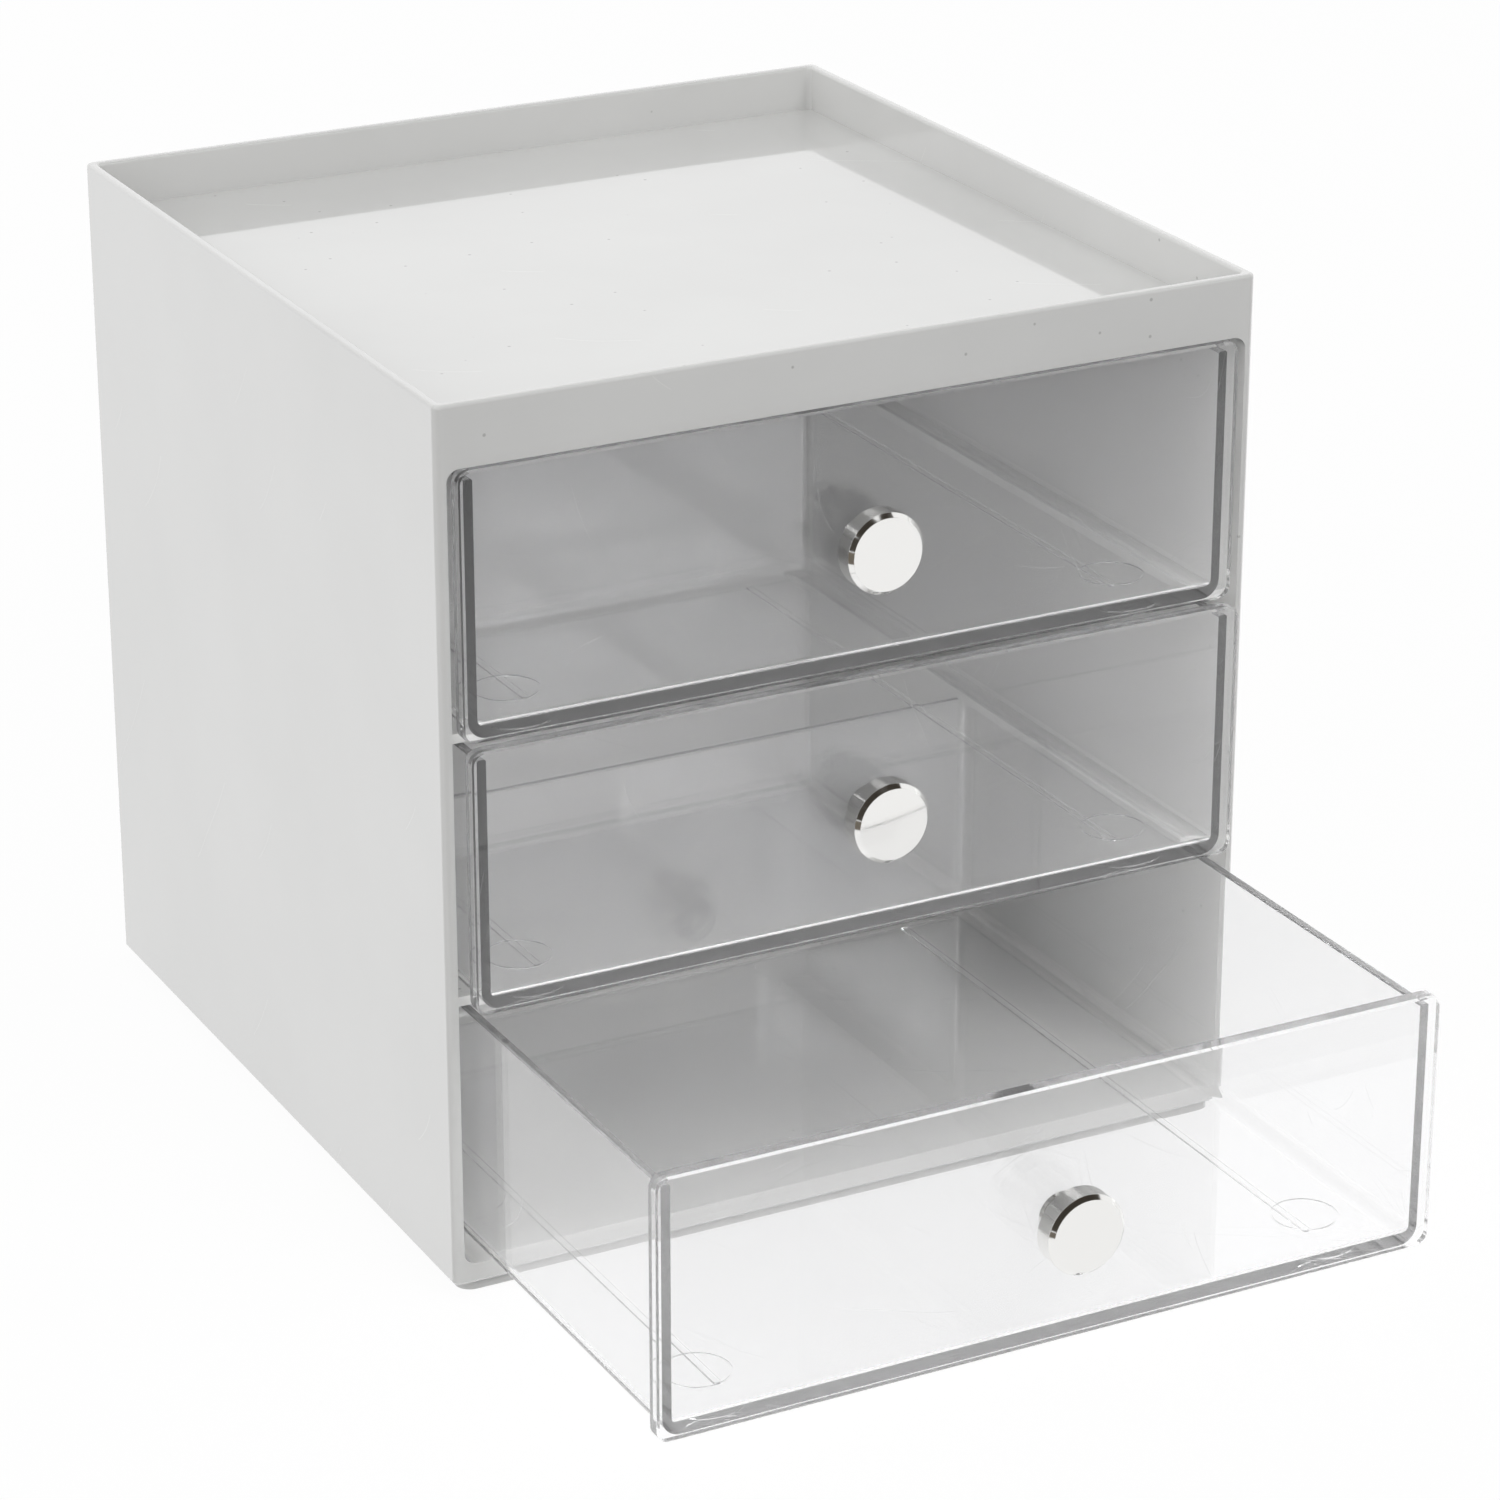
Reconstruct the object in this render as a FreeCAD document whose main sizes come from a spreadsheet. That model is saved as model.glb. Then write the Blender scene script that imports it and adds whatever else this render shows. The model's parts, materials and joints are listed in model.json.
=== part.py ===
import FreeCAD, Part
import os
import re

import Sketcher

# Desk organizer: a moulded case, open in front, with a shallow tray on top, and
# three clear drawers with turned metal knobs.
# Millimetres. X runs to the right, the front looks towards -Y, Z is up.
# The origin is the middle of the base, on the surface that the case stands on.

# ---------------------------------------------------------------------------
# Driving dimensions. Every other size below is worked out from these.
# ---------------------------------------------------------------------------
DIMENSIONS = {
    # case
    "case_width": 165.0,         # across the front
    "case_depth": 168.6,
    "case_height": 171.0,
    "side_draft": 1.35,          # each side leans in by this much towards the back
    "wall": 1.9,                 # side walls, back wall and tray rim
    "deck_thickness": 2.65,      # floor of the bay and floor of the tray
    "tray_depth": 9.1,
    "base_height": 6.6,          # from the table to the top of the bay floor
    "plinth_height": 2.7,        # narrower ring at the foot, which nests in a tray
    "nest_clearance": 0.4,       # round the plinth when it stands in another tray
    "plinth_radius": 3.0,
    "corner_radius": 1.5,        # upright outer edges
    "rim_radius": 0.7,
    "opening_radius": 2.5,
    "tray_radius": 1.0,
    # drawers
    "reveal": 0.87,              # a closed panel stands this far out of the case
    "panel_gap": 0.35,           # above and below each panel
    "side_gap": 1.75,            # beside each panel
    "panel_thickness": 2.8,
    "panel_radius": 2.5,
    "edge_break": 0.4,           # broken edges of the panels and of the foot of the case
    "box_inset": 1.7,            # box side in from the panel's side
    "box_lift": 0.15,            # box underside above the panel's lower edge
    "box_drop": 2.1,             # box rim below the panel's upper edge
    "box_wall": 1.8,
    "box_floor": 2.0,
    "box_radius": 3.6,           # outer edges between floor and walls
    "box_rim_break": 0.3,
    "stop_clearance": 0.1,       # between a closed box and the back wall
    # slides
    "ledge_overlap": 0.9,        # flat of the box floor that lies on a ledge
    "ledge_thickness": 1.8,
    "ledge_setback": 5.0,        # from the front of the case
    "slide_clearance": 0.1,
    "skid_width": 1.4,
    "skid_spacing": 121.6,
    "skid_setback": 11.0,        # from the back of the panel
    "pin_mark_radius": 6.3,
    "pin_mark_width": 0.35,
    "pin_mark_depth": 0.15,
    "pin_mark_spacing": 125.6,
    "pin_mark_setback": 15.2,
    # knobs
    "knob_radius": 7.7,
    "knob_reach": 9.6,           # from the panel to the knob's face
    "head_length": 5.3,
    "head_break": 0.8,           # broken rims of the head
    "neck_radius": 3.6,
    "collar_radius": 4.4,
    "collar_length": 0.9,
    "stud_radius": 2.0,
    "stud_squeeze": 0.02,        # the stud is this much larger than its hole
    "stud_setback": 0.2,         # end of the stud below the panel's back face
    # how far two of the drawers are drawn out; the top one is closed
    "middle_open": 3.2,
    "bottom_open": 73.55,
}

# Sizes that follow from the driving dimensions.
DERIVED = {
    "plinth_inset": "wall + nest_clearance",
    "bay_width": "case_width - 2 * wall",
    "bay_top": "case_height - tray_depth - deck_thickness",
    "bay_height": "bay_top - base_height",
    "bay_depth": "case_depth - wall",
    "panel_width": "bay_width - 2 * side_gap",
    "panel_height": "(bay_height - 4 * panel_gap) / 3",
    "drawer_pitch": "panel_height + panel_gap",
    "box_width": "panel_width - 2 * box_inset",
    "box_back": "bay_depth + reveal - stop_clearance",
    "box_top": "panel_height - box_drop",
    "inner_radius": "box_radius - (box_wall + box_floor) / 2",
    "ledge_inner": "box_width / 2 - box_radius - ledge_overlap",
    "ledge_top": "base_height + panel_gap + box_lift - slide_clearance",
    "skid_height": "panel_gap + box_lift - slide_clearance",
    "skid_nose_radius": "0.45 * skid_width",
    "front": "-case_depth / 2",
    "panel_face": "-case_depth / 2 - reveal",
    "panel_foot": "base_height + panel_gap",
}

# Drawers from the bottom to the top, with how far each is drawn out.
DRAWERS = (("bottom", "bottom_open"), ("middle", "middle_open"), ("top", "0"))
CARRIED_LEVELS = (1, 2)      # the drawers above the bottom one run on ledges

CENTRE_POINT = 3             # number of a circle's centre in a sketch constraint
EDGE_SIZE = {"Fillet": "Radius", "Chamfer": "Size"}
EDGE_TOLERANCE = 0.02        # for finding edges by their place

doc = FreeCAD.newDocument("drawer_organizer")


def make_sheet():
    """Write the driving dimensions to a spreadsheet, one alias for each."""
    cell_sheet = doc.addObject("Spreadsheet::Sheet", "dims")
    for row, (name, size) in enumerate(DIMENSIONS.items(), start=1):
        cell_sheet.set("A%d" % row, name)
        cell_sheet.set("B%d" % row, str(size))
        cell_sheet.setAlias("B%d" % row, name)
    doc.recompute()
    return cell_sheet


sheet = make_sheet()


# ---------------------------------------------------------------------------
# Helpers for formulas, sketches and features
# ---------------------------------------------------------------------------
def cells(formula):
    """Write a formula of size names out as references to the sheet's cells."""
    def reference(match):
        word = match.group(0)
        if word in DERIVED:
            return "(" + cells(DERIVED[word]) + ")"
        return "dims." + word
    return re.sub("[a-z_]+", reference, formula)


def value(formula):
    """Number that a formula gives for the present dimensions."""
    result = sheet.evalExpression(cells(formula))
    return float(getattr(result, "Value", result))


def bind(target, prop, formula):
    """Tie one property of an object to a formula of the dimensions."""
    target.setExpression(prop, cells(formula))


def new_sketch(body, name, role, offset=None):
    """Empty sketch on a base plane, moved along the plane's normal by a formula."""
    sketch = body.newObject("Sketcher::SketchObject", name)
    plane = next(item for item in body.Origin.OriginFeatures if item.Role == role)
    sketch.AttachmentSupport = (plane, [""])
    sketch.MapMode = "FlatFace"
    if offset:
        bind(sketch, "AttachmentOffset.Base.z", offset)
    return sketch


def hold(sketch, edge, corner, across, along):
    """Hold one point of an edge at two formulas measured from the sketch's origin."""
    for kind, formula in (("DistanceX", across), ("DistanceY", along)):
        constraint = Sketcher.Constraint(kind, -1, 1, edge, corner, value(formula))
        number = sketch.addConstraint(constraint)
        bind(sketch, "Constraints[%d]" % number, formula)


def add_outline(sketch, corners):
    """Closed polygon whose corners are pairs of formulas."""
    places = [FreeCAD.Vector(value(across), value(along), 0) for across, along in corners]
    first = sketch.GeometryCount
    count = len(corners)
    for index in range(count):
        sketch.addGeometry(Part.LineSegment(places[index], places[(index + 1) % count]))
    for index, (across, along) in enumerate(corners):
        following = first + (index + 1) % count
        sketch.addConstraint(Sketcher.Constraint("Coincident", first + index, 2, following, 1))
        hold(sketch, first + index, 1, across, along)


def set_radius(sketch, edge, radius):
    """Tie the radius of a circle or an arc to a formula."""
    number = sketch.addConstraint(Sketcher.Constraint("Radius", edge, value(radius)))
    bind(sketch, "Constraints[%d]" % number, radius)


def add_rectangle(sketch, left, right, low, high):
    """Closed rectangle between four formulas."""
    add_outline(sketch, [(left, low), (right, low), (right, high), (left, high)])


def add_circle(sketch, across, along, radius):
    """Circle with its centre and radius given by formulas."""
    centre = FreeCAD.Vector(value(across), value(along), 0)
    edge = sketch.addGeometry(Part.Circle(centre, FreeCAD.Vector(0, 0, 1), value(radius)))
    set_radius(sketch, edge, radius)
    hold(sketch, edge, CENTRE_POINT, across, along)


def pad(body, name, sketch, length, reverse=False):
    """Add material along the sketch's normal, or against it when reversed."""
    feature = body.newObject("PartDesign::Pad", name)
    feature.Profile = sketch
    feature.Reversed = reverse
    bind(feature, "Length", length)
    doc.recompute()


def pocket(body, name, sketch, length, reverse=False):
    """Remove material against the sketch's normal, or along it when reversed."""
    before = body.Shape.Volume
    feature = body.newObject("PartDesign::Pocket", name)
    feature.Profile = sketch
    feature.Reversed = reverse
    bind(feature, "Length", length)
    doc.recompute()
    if body.Shape.Volume >= before:
        raise ValueError("%s removes nothing" % name)


def dress_edges(body, kind, name, size, wanted):
    """Add a Fillet or Chamfer to those edges of the present shape that the test accepts."""
    base = body.Tip
    edges = ["Edge%d" % number for number, edge in enumerate(base.Shape.Edges, start=1)
             if wanted(edge, edge.BoundBox)]
    if not edges:
        raise ValueError("%s finds no edge" % name)
    feature = body.newObject("PartDesign::" + kind, name)
    feature.Base = (base, edges)
    bind(feature, EDGE_SIZE[kind], size)
    doc.recompute()


def fillet(body, name, radius, wanted):
    """Round the edges that the test accepts."""
    dress_edges(body, "Fillet", name, radius, wanted)


def chamfer(body, name, size, wanted):
    """Break the edges that the test accepts."""
    dress_edges(body, "Chamfer", name, size, wanted)


def near(first, second):
    """Whether two lengths agree within the tolerance of an edge search."""
    return abs(first - second) < EDGE_TOLERANCE


def is_upright(size):
    """Whether a bounding box is that of a straight edge along Z."""
    return near(size.XLength, 0) and near(size.YLength, 0)


def is_level(size, height):
    """Whether a bounding box is that of an edge lying flat at one height."""
    return near(size.ZMin, height) and near(size.ZMax, height)


# ---------------------------------------------------------------------------
# Case
# ---------------------------------------------------------------------------
def tapered_plan(half_front, half_depth_front, half_depth_back):
    """Outline from above that narrows towards the back as the case does."""
    half_back = "(%s - side_draft)" % half_front
    return [("-" + half_front, "-" + half_depth_front), (half_front, "-" + half_depth_front),
            (half_back, half_depth_back), ("-" + half_back, half_depth_back)]


def case_plan(inset):
    """Outline of the case from above, drawn in by a formula on all four sides."""
    half_depth = "(case_depth / 2 - %s)" % inset
    return tapered_plan("(case_width / 2 - %s)" % inset, half_depth, half_depth)


def add_case_block(body):
    """Outer block of the case, from the top of the plinth upwards."""
    block = new_sketch(body, "block_plan", "XY_Plane", "plinth_height")
    add_outline(block, tapered_plan("(case_width / 2)", "case_depth / 2", "case_depth / 2"))
    pad(body, "block", block, "case_height - plinth_height")
    foot = value("plinth_height")
    fillet(body, "block_corners", "corner_radius", lambda edge, size: is_upright(size))
    chamfer(body, "foot_edge", "edge_break", lambda edge, size: is_level(size, foot))


def add_plinth(body):
    """Narrower plinth below the block, which the case stands on."""
    plinth = new_sketch(body, "plinth_plan", "XY_Plane")
    add_outline(plinth, case_plan("plinth_inset"))
    pad(body, "plinth", plinth, "plinth_height")
    fillet(body, "plinth_corners", "plinth_radius",
           lambda edge, size: is_upright(size) and near(size.ZMin, 0))


def add_tray(body):
    """Shallow tray on top, inside a thin raised rim."""
    plan = new_sketch(body, "tray_plan", "XY_Plane", "case_height")
    add_outline(plan, case_plan("wall"))
    pocket(body, "tray", plan, "tray_depth")
    floor = value("case_height - tray_depth")
    top = value("case_height")
    fillet(body, "tray_corners", "tray_radius",
           lambda edge, size: is_upright(size) and near(size.ZMin, floor))
    fillet(body, "rim_edges", "rim_radius", lambda edge, size: is_level(size, top))


def add_bay(body):
    """Drawer bay, open in front, with sides that follow the lean of the case."""
    plan = new_sketch(body, "bay_plan", "XY_Plane", "base_height")
    add_outline(plan, tapered_plan("(bay_width / 2)", "case_depth / 2", "(case_depth / 2 - wall)"))
    pocket(body, "bay", plan, "bay_height", reverse=True)
    half = value("bay_width / 2")
    low = value("base_height")
    high = value("bay_top")
    least_length = value("bay_depth / 2")

    def is_lengthwise(edge, size):
        inside = abs(edge.CenterOfMass.x) < half and size.YLength > least_length
        return inside and (is_level(size, low) or is_level(size, high))

    fillet(body, "bay_corners", "opening_radius", is_lengthwise)


def add_ledges(body):
    """Ledges along both sides that carry the middle and the top drawer."""
    for level in CARRIED_LEVELS:
        plan = new_sketch(body, "ledge_plan_%d" % level, "XY_Plane",
                          "ledge_top + %d * drawer_pitch" % level)
        start = "front + ledge_setback"
        end = "case_depth / 2 - wall / 2"
        outer_start = "(bay_width / 2 + wall / 2)"
        outer_end = "(bay_width / 2 + wall / 2 - side_draft)"
        for side in ("-", ""):
            add_outline(plan, [(side + "(ledge_inner)", start), (side + outer_start, start),
                               (side + outer_end, end), (side + "(ledge_inner)", end)])
        pad(body, "ledges_%d" % level, plan, "ledge_thickness", reverse=True)


def add_base_recess(body):
    """Hollow below the bay floor, inside the plinth, so that all walls are thin."""
    plan = new_sketch(body, "recess_plan", "XY_Plane")
    add_outline(plan, case_plan("(plinth_inset + wall)"))
    pocket(body, "recess", plan, "base_height - deck_thickness", reverse=True)


def make_case():
    """The case: a single moulding."""
    body = doc.addObject("PartDesign::Body", "case")
    add_case_block(body)
    add_tray(body)
    add_bay(body)
    add_ledges(body)
    add_plinth(body)
    add_base_recess(body)
    return body


# ---------------------------------------------------------------------------
# Drawers. A drawer's own origin is the middle of its panel's lower front edge.
# ---------------------------------------------------------------------------
def add_panel(body):
    """Front panel with round corners and a broken front edge."""
    face = new_sketch(body, "panel_outline", "XZ_Plane")
    add_rectangle(face, "-panel_width / 2", "panel_width / 2", "0", "panel_height")
    pad(body, "panel", face, "panel_thickness", reverse=True)
    thickness = value("panel_thickness")
    fillet(body, "panel_corners", "panel_radius",
           lambda edge, size: near(size.YLength, thickness))
    chamfer(body, "panel_front_edge", "edge_break", lambda edge, size: near(size.YMax, 0))


def add_box(body):
    """Block behind the panel, rounded below and at the back, for the box."""
    section = new_sketch(body, "box_section", "XZ_Plane", "-panel_thickness")
    add_rectangle(section, "-box_width / 2", "box_width / 2", "box_lift", "box_top")
    pad(body, "box", section, "box_back - panel_thickness", reverse=True)
    back = value("box_back")
    low = value("box_lift")

    def is_outer(edge, size):
        at_back = near(size.YMax, back)
        return at_back and (is_level(size, low) or is_upright(size))

    fillet(body, "box_edges", "box_radius", is_outer)


def add_hollow(body):
    """Inside of the box, with rounded corners that are easy to wipe out."""
    plan = new_sketch(body, "hollow_plan", "XY_Plane", "box_top")
    half = "(box_width / 2 - box_wall)"
    add_rectangle(plan, "-" + half, half, "panel_thickness", "box_back - box_wall")
    pocket(body, "hollow", plan, "box_top - box_lift - box_floor")
    floor = value("box_lift + box_floor")
    rim = value("box_top")
    panel_back = value("panel_thickness")
    back = value("box_back - box_wall")
    fillet(body, "hollow_back_corners", "inner_radius",
           lambda edge, size: is_upright(size) and near(size.YMax, back))
    fillet(body, "hollow_floor_edge", "inner_radius",
           lambda edge, size: is_level(size, floor))
    chamfer(body, "box_rim", "box_rim_break",
            lambda edge, size: is_level(size, rim) and not near(size.YMax, panel_back))


def add_pin_marks(body):
    """Shallow rings left by the mould's pins, one near each front corner of the floor."""
    rings = new_sketch(body, "pin_mark_rings", "XY_Plane", "box_lift + box_floor")
    along = "panel_thickness + pin_mark_setback"
    for side in ("-", ""):
        across = side + "pin_mark_spacing / 2"
        add_circle(rings, across, along, "pin_mark_radius")
        add_circle(rings, across, along, "pin_mark_radius - pin_mark_width")
    pocket(body, "pin_marks", rings, "pin_mark_depth")


def add_skids(body):
    """Two low skids below the box floor, with rounded noses."""
    plan = new_sketch(body, "skid_plan", "XY_Plane", "box_lift")
    nose = "panel_thickness + skid_setback"
    tail = "box_back - box_radius"
    near_side = "(skid_spacing / 2 - skid_width / 2)"
    far_side = "(skid_spacing / 2 + skid_width / 2)"
    add_rectangle(plan, "-" + far_side, "-" + near_side, nose, tail)
    add_rectangle(plan, near_side, far_side, nose, tail)
    pad(body, "skids", plan, "skid_height", reverse=True)
    place = value(nose)
    under = value("box_lift - skid_height")
    fillet(body, "skid_noses", "skid_nose_radius",
           lambda edge, size: is_upright(size) and near(size.YMin, place)
           and near(size.ZMin, under))


def add_knob_hole(body):
    """Hole through the middle of the panel for the knob's stud."""
    face = new_sketch(body, "knob_hole_outline", "XZ_Plane")
    add_circle(face, "0", "panel_height / 2", "stud_radius - stud_squeeze")
    pocket(body, "knob_hole", face, "panel_thickness")


def make_drawer(name, level, drawn_out):
    """One clear drawer, panel and box in a single moulding, drawn out by a formula."""
    body = doc.addObject("PartDesign::Body", name)
    add_panel(body)
    add_box(body)
    add_hollow(body)
    add_pin_marks(body)
    add_skids(body)
    add_knob_hole(body)
    bind(body, "Placement.Base.y", "panel_face - " + drawn_out)
    bind(body, "Placement.Base.z", "panel_foot + %d * drawer_pitch" % level)
    return body


# ---------------------------------------------------------------------------
# Knobs. A knob's own origin is on its axis, on the face of the panel.
# ---------------------------------------------------------------------------
def make_knob(name, level, drawn_out):
    """One turned knob, with a stud that is pressed into the panel of its drawer."""
    body = doc.addObject("PartDesign::Body", name)
    section = new_sketch(body, "knob_section", "YZ_Plane")
    stud_end = "(panel_thickness - stud_setback)"
    head_back = "(head_length - knob_reach)"
    add_outline(section, [
        (stud_end, "0"),
        (stud_end, "stud_radius"),
        ("0", "stud_radius"),
        ("0", "collar_radius"),
        ("-collar_length", "collar_radius"),
        ("-collar_length", "neck_radius"),
        (head_back, "neck_radius"),
        (head_back, "knob_radius"),
        ("-knob_reach", "knob_radius"),
        ("-knob_reach", "0")])
    turned = body.newObject("PartDesign::Revolution", "turned")
    turned.Profile = section
    turned.ReferenceAxis = (section, ["H_Axis"])
    turned.Angle = 360
    doc.recompute()
    rim = value("knob_radius")
    chamfer(body, "head_rims", "head_break",
            lambda edge, size: near(size.YLength, 0) and near(size.XMax, rim))
    bind(body, "Placement.Base.y", "panel_face - " + drawn_out)
    bind(body, "Placement.Base.z", "panel_foot + panel_height / 2 + %d * drawer_pitch" % level)
    return body


# ---------------------------------------------------------------------------
# Assembly, checks and export
# ---------------------------------------------------------------------------
def check(body):
    """Stop when a feature has failed or the finished shape is not one valid solid."""
    for item in [body] + list(body.Group):
        if "Invalid" in item.State or "Error" in item.State:
            raise ValueError("%s: %s has failed" % (body.Label, item.Name))
    shape = body.Shape
    if shape.isNull() or not shape.isValid() or len(shape.Solids) != 1:
        raise ValueError("%s is not one valid solid" % body.Label)


pieces = [make_case()]
for level, (place, drawn_out) in enumerate(DRAWERS):
    pieces.append(make_drawer(place + "_drawer", level, drawn_out))
    pieces.append(make_knob(place + "_knob", level, drawn_out))
doc.recompute()

for piece in pieces:
    check(piece)
os.makedirs("parts", exist_ok=True)
for piece in pieces:
    piece.Shape.exportStep("parts/%s.step" % piece.Label)
    extent = piece.Shape.BoundBox
    FreeCAD.Console.PrintMessage("%s %.1f x %.1f x %.1f mm, %.0f mm3\n" % (
        piece.Label, extent.XLength, extent.YLength, extent.ZLength, piece.Shape.Volume))
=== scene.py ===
"""Looks of the drawer organizer: materials, studio, light and camera."""
import json
import math

import bpy
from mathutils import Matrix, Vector

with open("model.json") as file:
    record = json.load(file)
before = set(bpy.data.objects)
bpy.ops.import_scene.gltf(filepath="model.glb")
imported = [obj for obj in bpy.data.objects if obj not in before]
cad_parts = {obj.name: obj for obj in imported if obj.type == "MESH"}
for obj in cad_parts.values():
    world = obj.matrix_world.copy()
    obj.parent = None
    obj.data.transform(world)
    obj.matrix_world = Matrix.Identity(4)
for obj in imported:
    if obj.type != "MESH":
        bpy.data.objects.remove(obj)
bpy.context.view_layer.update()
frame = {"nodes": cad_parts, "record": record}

MM = 0.001

# Camera, fitted to the edges of the photograph.
CAMERA_AZIMUTH = math.radians(-27.64)
CAMERA_ELEVATION = math.radians(22.44)
CAMERA_DISTANCE = 0.988
CAMERA_TARGET = Vector((0.0037, -0.0349, 0.0737))
CAMERA_LENS = 123.9
CAMERA_SENSOR = 36.0

# Colours, linear.
CASE_GREY = (0.67, 0.67, 0.66, 1.0)
CASE_SHADE = (0.63, 0.63, 0.62, 1.0)
DIRT_GREY = (0.3, 0.3, 0.29, 1.0)
CLEAR_TINT = (0.995, 0.995, 0.998, 1.0)
CLEAR_SHADOW = (0.985, 0.985, 0.985, 1.0)
CHROME = (0.86, 0.855, 0.84, 1.0)
ROOM_BROWN = (0.16, 0.14, 0.115, 1.0)
WHITE = (1.0, 1.0, 1.0, 1.0)

# Floor: its reach on each side of the middle in metres, how bright it looks, how much light it
# throws back, and how far it merges with the background.
FLOOR_REACH = 6.0
FLOOR_SEEN = 0.9
FLOOR_BOUNCE = 0.27
FLOOR_GLOW = 0.95

# World: strength of the light on the object. Its background is white.
AMBIENT = 0.33

# Dim room around the object, seen only in polished surfaces: radius of its dome, and height of the
# cloth above the floor, in metres.
ROOM_RADIUS = 3.0
CLOTH_LIFT = 2.0 * MM

# Noises: how much of their finer detail shows, and ranges from nothing to all and back.
NOISE_ROUGHNESS = 0.55
RISING = (0.0, 1.0)
FALLING = (1.0, 0.0)

# Rays for the softly rounded edges of the knobs.
EDGE_SAMPLES = 4

# Sockets of Blender's Mix node, which share their names: its factor, then A, B and the result for
# numbers and for colours.
MIX_FACTOR = 0
MIX_NUMBERS = (2, 3, 0)
MIX_COLOURS = (6, 7, 2)


# ---------------------------------------------------------------------------
# Node helpers
# ---------------------------------------------------------------------------
class Nodes:
    """Short way to build a node tree."""

    def __init__(self, tree):
        self.tree = tree

    def add(self, kind, **settings):
        """New node with its attributes set."""
        node = self.tree.nodes.new(kind)
        for name, value in settings.items():
            setattr(node, name, value)
        return node

    def link(self, source, target):
        self.tree.links.new(source, target)

    def feed(self, source, target):
        """Link a socket to a target socket, or set the target to a number."""
        if isinstance(source, bpy.types.NodeSocket):
            self.link(source, target)
        else:
            target.default_value = source


def new_material(name):
    """Material with a Principled shader; returns the material, its nodes and the shader."""
    material = bpy.data.materials.new(name)
    material.use_nodes = True
    nodes = Nodes(material.node_tree)
    return material, nodes, material.node_tree.nodes["Principled BSDF"]


def object_place(nodes):
    """Socket with the place in the object's own coordinates, in metres."""
    return nodes.add("ShaderNodeTexCoord").outputs["Object"]


def object_noise(nodes, scale, detail):
    """Noise from 0 to 1 in the object's own coordinates; scale is in waves per metre."""
    noise = nodes.add("ShaderNodeTexNoise")
    noise.inputs["Scale"].default_value = scale
    noise.inputs["Detail"].default_value = detail
    noise.inputs["Roughness"].default_value = NOISE_ROUGHNESS
    nodes.link(object_place(nodes), noise.inputs["Vector"])
    return noise.outputs["Fac"]


def remap(nodes, source, old_range, new_range):
    """Stretch one range of a socket to another range, and cut off what is outside."""
    ramp = nodes.add("ShaderNodeMapRange")
    ramp.inputs["From Min"].default_value = old_range[0]
    ramp.inputs["From Max"].default_value = old_range[1]
    ramp.inputs["To Min"].default_value = new_range[0]
    ramp.inputs["To Max"].default_value = new_range[1]
    nodes.link(source, ramp.inputs["Value"])
    return ramp.outputs["Result"]


def mix(nodes, kind, sockets, factor, low, high):
    """Mix node of one data type, by a factor socket; low and high are values or sockets."""
    blend = nodes.add("ShaderNodeMix", data_type=kind)
    first, second, result = sockets
    nodes.link(factor, blend.inputs[MIX_FACTOR])
    nodes.feed(low, blend.inputs[first])
    nodes.feed(high, blend.inputs[second])
    return blend.outputs[result]


def mix_number(nodes, factor, low, high):
    """Number between two values or sockets, by a factor socket."""
    return mix(nodes, "FLOAT", MIX_NUMBERS, factor, low, high)


def mix_colour(nodes, factor, low, high):
    """Colour between two colours or sockets, by a factor socket."""
    return mix(nodes, "RGBA", MIX_COLOURS, factor, low, high)


def mix_shaders(nodes, factor, first, second, output):
    """Blend of two shader sockets by a factor socket, as the surface of an output node."""
    blend = nodes.add("ShaderNodeMixShader")
    nodes.link(factor, blend.inputs["Fac"])
    nodes.link(first, blend.inputs[1])
    nodes.link(second, blend.inputs[2])
    nodes.link(blend.outputs["Shader"], output.inputs["Surface"])


def combine(nodes, operation, first, second):
    """Math node of two sockets, or of a socket and a number."""
    result = nodes.add("ShaderNodeMath", operation=operation)
    nodes.feed(first, result.inputs[0])
    nodes.feed(second, result.inputs[1])
    return result.outputs[0]


def combine_vectors(nodes, operation, first, second):
    """Vector Math node of two sockets, or of a socket and a vector."""
    result = nodes.add("ShaderNodeVectorMath", operation=operation)
    nodes.feed(first, result.inputs[0])
    nodes.feed(second, result.inputs[1])
    return result.outputs["Value" if operation == "DOT_PRODUCT" else "Vector"]


def specks(nodes, spacing, radius, share):
    """1 on small round specks; spacing and radius in metres, share of the places that have one."""
    cells = nodes.add("ShaderNodeTexVoronoi")
    cells.inputs["Scale"].default_value = 1.0 / spacing
    nodes.link(object_place(nodes), cells.inputs["Vector"])
    edge = radius / spacing
    core = 0.6 * edge
    spot = remap(nodes, cells.outputs["Distance"], (core, edge), FALLING)
    pick = nodes.add("ShaderNodeSeparateColor")
    nodes.link(cells.outputs["Color"], pick.inputs["Color"])
    chosen = combine(nodes, "LESS_THAN", pick.outputs["Red"], share)
    return combine(nodes, "MULTIPLY", spot, chosen)


def scratches(nodes, across, spacing, width, share):
    """1 on straight hairlines.

    The lines lie where a surface meets parallel planes, whose direction is across and whose
    spacing is in metres. They drift a little, and show only in patches that grow with share.
    """
    patch_size = 1.3 * spacing
    patch_detail = 0.0
    patch_edge = (0.68 - share, 0.70 - share)
    drift_reach = 0.4 * spacing
    core = 0.3 * width
    along = combine_vectors(nodes, "DOT_PRODUCT", object_place(nodes), Vector(across).normalized())
    patch = object_noise(nodes, 1.0 / patch_size, patch_detail)
    drift = combine(nodes, "MULTIPLY", patch, drift_reach)
    from_line = combine(nodes, "PINGPONG", combine(nodes, "ADD", along, drift), 0.5 * spacing)
    line = remap(nodes, from_line, (core, width), FALLING)
    shown = remap(nodes, patch, patch_edge, RISING)
    return combine(nodes, "MULTIPLY", line, shown)


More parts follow.
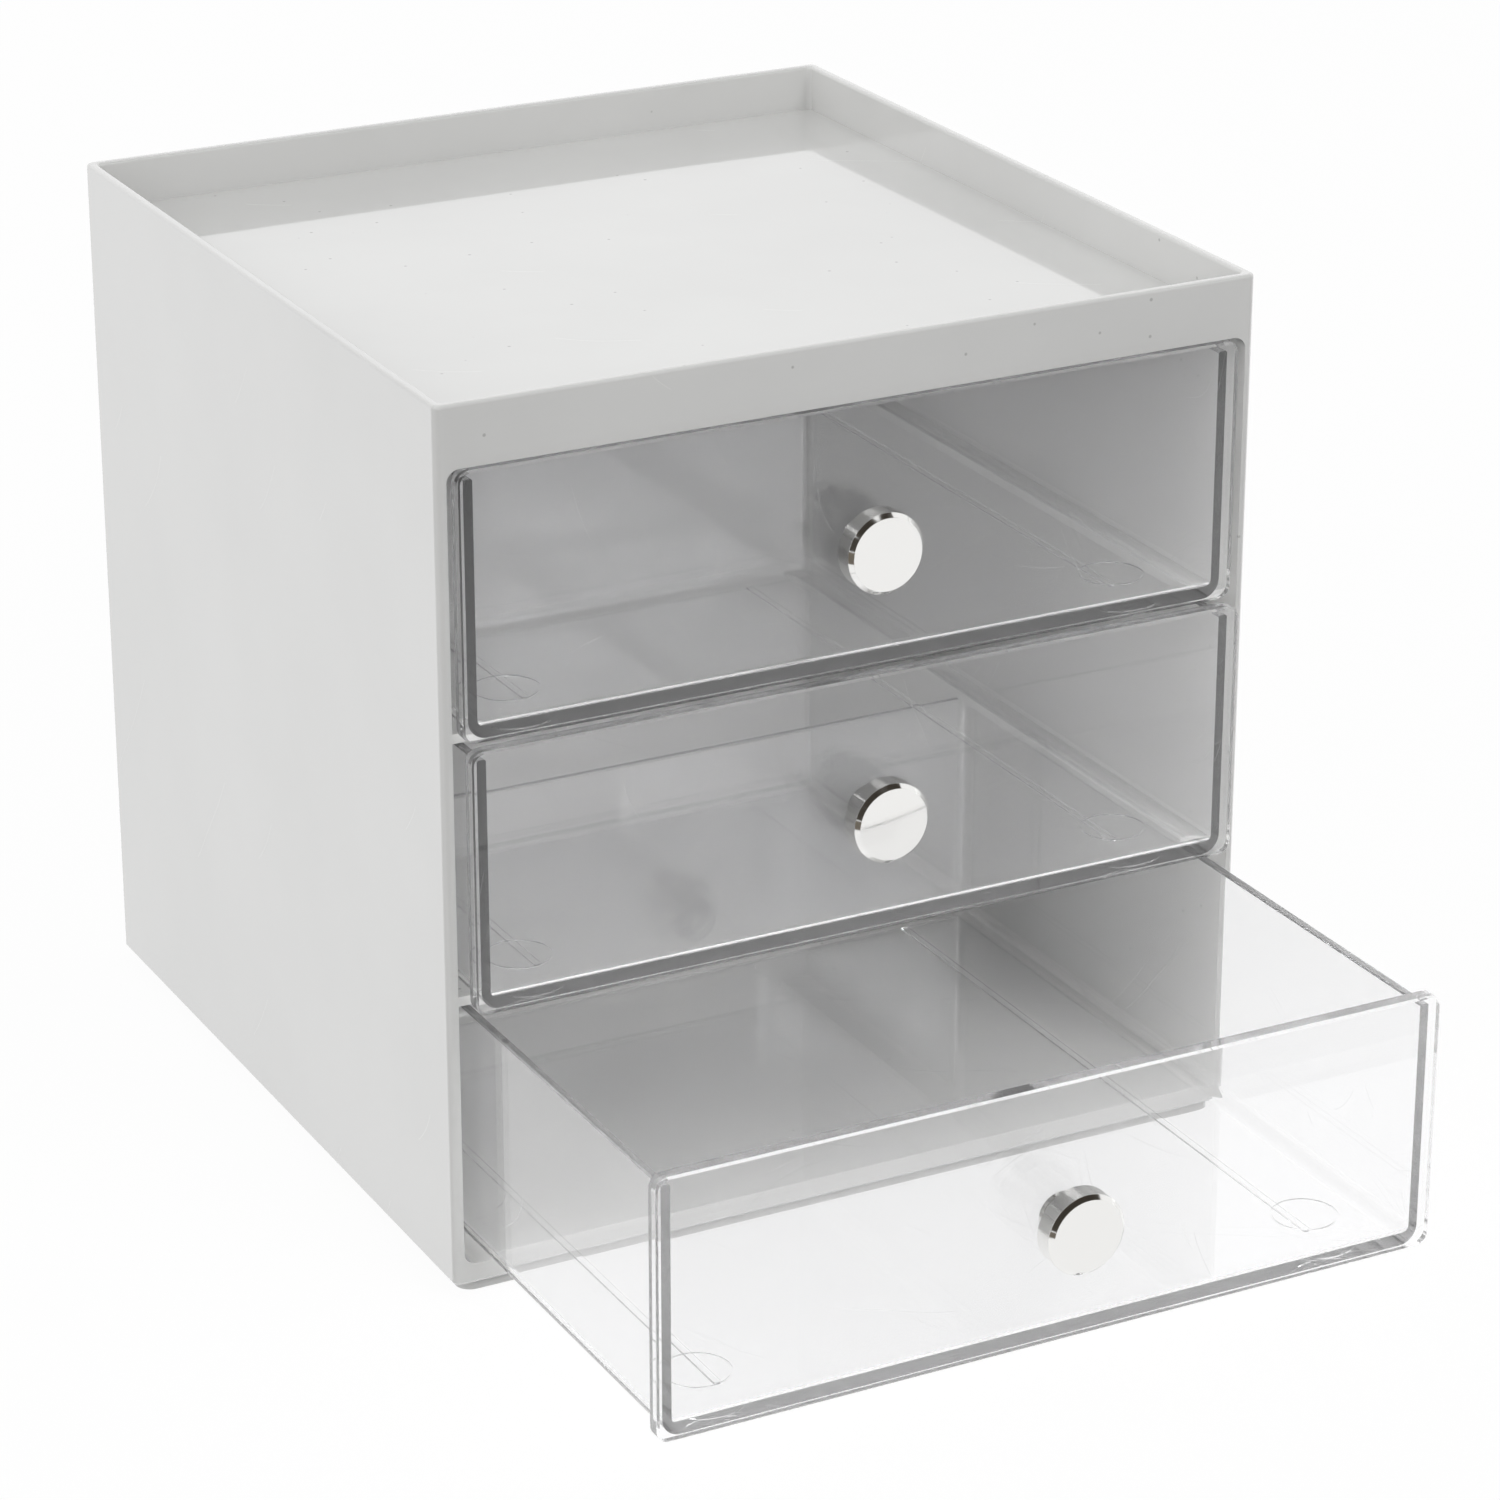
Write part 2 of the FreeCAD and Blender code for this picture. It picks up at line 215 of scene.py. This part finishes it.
def add_bump(nodes, height, depth, base=None):
    """Bump of a height socket from 0 to 1 with a depth in metres, on top of another normal."""
    bump = nodes.add("ShaderNodeBump")
    bump.inputs["Strength"].default_value = 1.0
    bump.inputs["Distance"].default_value = depth
    nodes.link(height, bump.inputs["Height"])
    if base is not None:
        nodes.link(base, bump.inputs["Normal"])
    return bump.outputs["Normal"]


def rounded_edges(nodes, radius):
    """Normal with softly rounded edges."""
    rounding = nodes.add("ShaderNodeBevel", samples=EDGE_SAMPLES)
    rounding.inputs["Radius"].default_value = radius
    return rounding.outputs["Normal"]


# ---------------------------------------------------------------------------
# Materials
# ---------------------------------------------------------------------------
def case_colour(nodes):
    """Grey of the case, mottled by the flow of the plastic, with small specks of dirt."""
    mottle_waves = 16.0
    mottle_detail = 3.0
    mottle_range = (0.35, 0.65)
    speck_spacing = 3.5 * MM
    speck_radius = 0.4 * MM
    speck_share = 0.12
    speck_strength = 0.6
    mottle = remap(nodes, object_noise(nodes, mottle_waves, mottle_detail), mottle_range, RISING)
    grey = mix_colour(nodes, mottle, CASE_GREY, CASE_SHADE)
    dirt = specks(nodes, speck_spacing, speck_radius, speck_share)
    return mix_colour(nodes, combine(nodes, "MULTIPLY", dirt, speck_strength), grey, DIRT_GREY)


def case_plastic():
    """Light grey moulded plastic: flow mottling, faint grain, specks, scuffs and grazing gloss."""
    refraction = 1.59
    scuff_waves = 120.0
    scuff_detail = 6.0
    scuff_range = (0.3, 0.75)
    roughness_range = (0.07, 0.17)
    scratch_direction = (0.5, 0.8, 0.6)
    scratch_spacing = 17.0 * MM
    scratch_width = 0.06 * MM
    scratch_depth = 0.01 * MM
    scratch_share = 0.05
    scratch_roughness = 0.4
    sink_waves = 14.0
    sink_detail = 0.0
    sink_depth = 0.5 * MM
    grain_waves = 900.0
    grain_detail = 1.0
    grain_depth = 0.004 * MM
    grazing_blend = 0.5
    gloss_range = (0.45, 0.62)
    gloss_refraction = 3.0
    gloss_roughness = 0.02
    material, nodes, shader = new_material("case_plastic")
    nodes.link(case_colour(nodes), shader.inputs["Base Color"])
    worn = scratches(nodes, scratch_direction, scratch_spacing, scratch_width, scratch_share)
    scuffs = object_noise(nodes, scuff_waves, scuff_detail)
    roughness = remap(nodes, scuffs, scuff_range, roughness_range)
    nodes.link(mix_number(nodes, worn, roughness, scratch_roughness), shader.inputs["Roughness"])
    shader.inputs["IOR"].default_value = refraction
    facing = nodes.add("ShaderNodeLayerWeight")
    facing.inputs["Blend"].default_value = grazing_blend
    gloss = remap(nodes, facing.outputs["Facing"], gloss_range, RISING)
    nodes.link(gloss, shader.inputs["Coat Weight"])
    shader.inputs["Coat IOR"].default_value = gloss_refraction
    shader.inputs["Coat Roughness"].default_value = gloss_roughness
    waved = add_bump(nodes, object_noise(nodes, sink_waves, sink_detail), sink_depth)
    grained = add_bump(nodes, object_noise(nodes, grain_waves, grain_detail), grain_depth, waved)
    nodes.link(add_bump(nodes, worn, -scratch_depth, grained), shader.inputs["Normal"])
    nodes.link(waved, shader.inputs["Coat Normal"])
    return material


def clear_marks(nodes):
    """1 on the hairline scratches and the specks of dust of the clear plastic."""
    steep_direction = (0.9, 0.4, 0.35)
    steep_spacing = 13.0 * MM
    flat_direction = (0.3, 0.5, -0.8)
    flat_spacing = 19.0 * MM
    scratch_width = 0.05 * MM
    scratch_share = 0.05
    dust_spacing = 3.0 * MM
    dust_radius = 0.16 * MM
    dust_share = 0.1
    steep = scratches(nodes, steep_direction, steep_spacing, scratch_width, scratch_share)
    flat = scratches(nodes, flat_direction, flat_spacing, scratch_width, scratch_share)
    dust = specks(nodes, dust_spacing, dust_radius, dust_share)
    return combine(nodes, "MAXIMUM", combine(nodes, "MAXIMUM", steep, flat), dust)


def clear_plastic():
    """Polished clear plastic: faint haze and ripples, hairline scratches and specks of dust."""
    refraction = 1.49
    haze_waves = 60.0
    haze_detail = 2.0
    haze_range = (0.45, 0.8)
    roughness_range = (0.0, 0.05)
    mark_roughness = 0.25
    see_through = 0.96
    mark_see_through = 0.75
    ripple_waves = 18.0
    ripple_detail = 0.0
    ripple_depth = 0.008 * MM
    material, nodes, shader = new_material("clear_plastic")
    shader.inputs["Base Color"].default_value = CLEAR_TINT
    shader.inputs["IOR"].default_value = refraction
    marks = clear_marks(nodes)
    passed = mix_number(nodes, marks, see_through, mark_see_through)
    nodes.link(passed, shader.inputs["Transmission Weight"])
    haze = object_noise(nodes, haze_waves, haze_detail)
    roughness = remap(nodes, haze, haze_range, roughness_range)
    nodes.link(mix_number(nodes, marks, roughness, mark_roughness), shader.inputs["Roughness"])
    ripple = add_bump(nodes, object_noise(nodes, ripple_waves, ripple_detail), ripple_depth)
    nodes.link(ripple, shader.inputs["Normal"])
    let_light_through(material, nodes, shader)
    return material


def let_light_through(material, nodes, shader):
    """Clear plastic hardly shades what lies behind it: shadow rays pass."""
    path = nodes.add("ShaderNodeLightPath")
    clear = nodes.add("ShaderNodeBsdfTransparent")
    clear.inputs["Color"].default_value = CLEAR_SHADOW
    mix_shaders(nodes, path.outputs["Is Shadow Ray"], shader.outputs["BSDF"], clear.outputs["BSDF"],
                material.node_tree.nodes["Material Output"])


def knob_metal():
    """Polished chrome with crisp soft rims, a very slightly domed face and faint handling marks."""
    mark_waves = 300.0
    mark_detail = 5.0
    mark_range = (0.4, 0.8)
    roughness_range = (0.07, 0.14)
    rim_softness = 0.15 * MM
    dome_depth = 0.5 * MM
    material, nodes, shader = new_material("knob_metal")
    shader.inputs["Base Color"].default_value = CHROME
    shader.inputs["Metallic"].default_value = 1.0
    marks = object_noise(nodes, mark_waves, mark_detail)
    roughness = remap(nodes, marks, mark_range, roughness_range)
    nodes.link(roughness, shader.inputs["Roughness"])
    # Squared distance from the knob's axis: 0 at the centre and 1 at the rim.
    place_in_box = nodes.add("ShaderNodeTexCoord").outputs["Generated"]
    centred = combine_vectors(nodes, "SUBTRACT", place_in_box, (0.5, 0.5, 0.5))
    across = combine_vectors(nodes, "MULTIPLY", centred, (2.0, 0.0, 2.0))
    square = combine_vectors(nodes, "DOT_PRODUCT", across, across)
    soft = rounded_edges(nodes, rim_softness)
    nodes.link(add_bump(nodes, square, -dome_depth, soft), shader.inputs["Normal"])
    return material


def dress_nodes():
    """Give every CAD node the material of its slot."""
    materials = {"case_plastic": case_plastic(), "clear_plastic": clear_plastic(),
                 "knob_metal": knob_metal()}
    slots = {part["node"]: part["material_slot"] for part in frame["record"]["subparts"]}
    for name, node in frame["nodes"].items():
        node.data.materials.clear()
        node.data.materials.append(materials[slots[name]])


# ---------------------------------------------------------------------------
# Studio
# ---------------------------------------------------------------------------
def background_share(nodes):
    """1 for rays that look at the background: from the camera, a mirror or through glass."""
    path = nodes.add("ShaderNodeLightPath")
    seen = combine(nodes, "MAXIMUM", path.outputs["Is Camera Ray"], path.outputs["Is Glossy Ray"])
    return combine(nodes, "MAXIMUM", seen, path.outputs["Is Transmission Ray"])


def add_sheet(name, points, faces, material):
    """Stage object of some faces with one material."""
    mesh = bpy.data.meshes.new(name)
    mesh.from_pydata(points, [], faces)
    mesh.materials.append(material)
    sheet = bpy.data.objects.new(name, mesh)
    bpy.context.collection.objects.link(sheet)
    return sheet


def make_floor():
    """Pale floor that keeps a soft shadow and otherwise merges with the background."""
    material, nodes, shader = new_material("floor")
    seen = background_share(nodes)
    shade = remap(nodes, seen, RISING, (FLOOR_BOUNCE, FLOOR_SEEN))
    nodes.link(shade, shader.inputs["Base Color"])
    shader.inputs["Roughness"].default_value = 0.9
    shader.inputs["Specular IOR Level"].default_value = 0.1
    glow = nodes.add("ShaderNodeEmission")
    glow.inputs["Color"].default_value = WHITE
    mix_shaders(nodes, combine(nodes, "MULTIPLY", seen, FLOOR_GLOW), shader.outputs["BSDF"],
                glow.outputs["Emission"], material.node_tree.nodes["Material Output"])
    reach = FLOOR_REACH
    corners = [(-reach, -reach, 0), (reach, -reach, 0), (reach, reach, 0), (-reach, reach, 0)]
    add_sheet("floor", corners, [(0, 1, 2, 3)], material)


def make_world():
    """White background for what looks at it, and a gentle ambient light for the rest."""
    world = bpy.data.worlds.new("studio")
    bpy.context.scene.world = world
    world.use_nodes = True
    nodes = Nodes(world.node_tree)
    world.node_tree.nodes.clear()
    ambient = nodes.add("ShaderNodeBackground")
    ambient.inputs["Color"].default_value = WHITE
    ambient.inputs["Strength"].default_value = AMBIENT
    white = nodes.add("ShaderNodeBackground")
    white.inputs["Color"].default_value = WHITE
    white.inputs["Strength"].default_value = 1.0
    mix_shaders(nodes, background_share(nodes), ambient.outputs["Background"],
                white.outputs["Background"], nodes.add("ShaderNodeOutputWorld"))


def add_lamp(name, place, target, size, power):
    """Square area lamp at a place, turned to a target; size in metres and power in watts."""
    data = bpy.data.lights.new(name, "AREA")
    data.shape = "SQUARE"
    data.size = size
    data.energy = power
    lamp = bpy.data.objects.new(name, data)
    bpy.context.collection.objects.link(lamp)
    lamp.location = place
    lamp.visible_camera = False
    lamp.visible_glossy = False
    lamp.rotation_mode = "QUATERNION"
    lamp.rotation_quaternion = (Vector(target) - Vector(place)).to_track_quat("-Z", "Y")


def make_lamps():
    """Large soft lamps all around and from above, and two smaller ones from the front."""
    middle = (0.0, 0.0, 0.09)
    header = (0.0, -0.08, 0.15)
    large = 1.2
    add_lamp("key", (-1.6, -0.2, 0.7), middle, large, 12.5)
    add_lamp("top", (-0.1, 0.0, 1.8), middle, large, 4.5)
    add_lamp("right", (1.7, 0.1, 0.7), middle, large, 9.0)
    add_lamp("back", (-0.2, 1.7, 0.7), middle, large, 9.0)
    add_lamp("front", (0.25, -0.8, 0.75), header, 0.4, 2.8)
    add_lamp("low", (-0.57, -1.38, 0.65), middle, 0.25, 3.0)


def add_dark_card(name, points, faces, material):
    """Dark surface of the studio, seen only in polished surfaces."""
    card = add_sheet(name, points, faces, material)
    card.visible_camera = False
    card.visible_diffuse = False
    card.visible_transmission = False
    card.visible_shadow = False


def room_point(rise, turn):
    """Point of the room's dome at a height and a direction in degrees.

    Directions are counted from straight in front of the object, and are positive toward +X.
    """
    rise = math.radians(rise)
    turn = math.radians(turn)
    return (ROOM_RADIUS * math.cos(rise) * math.sin(turn),
            -ROOM_RADIUS * math.cos(rise) * math.cos(turn),
            ROOM_RADIUS * math.sin(rise))


def add_room_side(name, rises, turns, material):
    """Patch of the room's dome between two heights and two directions in degrees."""
    rows = 8
    columns = 16
    rise_step = (rises[1] - rises[0]) / rows
    turn_step = (turns[1] - turns[0]) / columns
    points = [room_point(rises[0] + rise_step * row, turns[0] + turn_step * column)
              for row in range(rows + 1) for column in range(columns + 1)]
    width = columns + 1
    faces = [(row * width + column, row * width + column + 1,
              (row + 1) * width + column + 1, (row + 1) * width + column)
             for row in range(rows) for column in range(columns)]
    add_dark_card(name, points, faces, material)


def make_dark_studio():
    """Dim room above the camera and to its left, and a dark cloth on the floor to the left."""
    material, _, shader = new_material("dark_studio")
    shader.inputs["Base Color"].default_value = ROOM_BROWN
    shader.inputs["Specular IOR Level"].default_value = 0.0
    shader.inputs["Roughness"].default_value = 1.0
    add_room_side("dark_room", (30.0, 70.0), (-60.0, 75.0), material)
    add_room_side("dark_corner", (2.0, 30.0), (-70.0, -35.0), material)
    far_left = -ROOM_RADIUS
    back_edge = -0.17
    cloth = [(far_left, -2.0, CLOTH_LIFT), (-0.2, -0.75, CLOTH_LIFT), (-0.12, back_edge, CLOTH_LIFT),
             (far_left, back_edge, CLOTH_LIFT)]
    add_dark_card("dark_cloth", cloth, [(0, 1, 2, 3)], material)


def make_camera():
    """Camera at the photograph's viewing angle."""
    data = bpy.data.cameras.new("camera")
    data.lens = CAMERA_LENS
    data.sensor_width = CAMERA_SENSOR
    camera = bpy.data.objects.new("camera", data)
    bpy.context.collection.objects.link(camera)
    back = Vector((math.sin(CAMERA_AZIMUTH) * math.cos(CAMERA_ELEVATION),
                   -math.cos(CAMERA_AZIMUTH) * math.cos(CAMERA_ELEVATION),
                   math.sin(CAMERA_ELEVATION)))
    camera.location = CAMERA_TARGET + back * CAMERA_DISTANCE
    camera.rotation_mode = "QUATERNION"
    camera.rotation_quaternion = (-back).to_track_quat("-Z", "Y")
    bpy.context.scene.camera = camera


def set_render_paths():
    """Enough bounces for light that is led along the walls of the clear drawers."""
    scene = bpy.context.scene
    scene.view_settings.view_transform = "Standard"
    scene.cycles.max_bounces = 18
    scene.cycles.diffuse_bounces = 3
    scene.cycles.transmission_bounces = 18
    scene.cycles.glossy_bounces = 14
    scene.cycles.transparent_max_bounces = 64


dress_nodes()
make_floor()
make_world()
make_lamps()
make_dark_studio()
make_camera()
set_render_paths()
